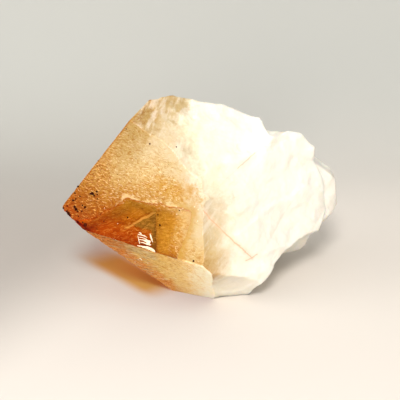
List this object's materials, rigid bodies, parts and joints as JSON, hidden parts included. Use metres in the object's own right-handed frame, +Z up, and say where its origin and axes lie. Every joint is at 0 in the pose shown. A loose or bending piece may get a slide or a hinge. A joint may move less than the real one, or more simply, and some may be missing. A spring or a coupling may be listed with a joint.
{
  "type": "citrine crystal point",
  "caption": "Natural citrine point lying on its side: a clear amber pyramid tip on a broken, milky white quartz root, for display.",
  "frame": {"origin": "middle of the underside of the bounding box, on the surface that the crystal rests on", "axes": "+X along the crystal's long axis from the tip to the root, +Y away from the broad front pyramid face, +Z up"},
  "size_m": [0.0548, 0.033, 0.0367],
  "materials": {
    "citrine": "glossy, clear amber at the tip, passing through cloudy gold to frosted milky white at the root"
  },
  "bodies": {
    "root": {"citrine_point": "citrine"}
  },
  "joints": []
}
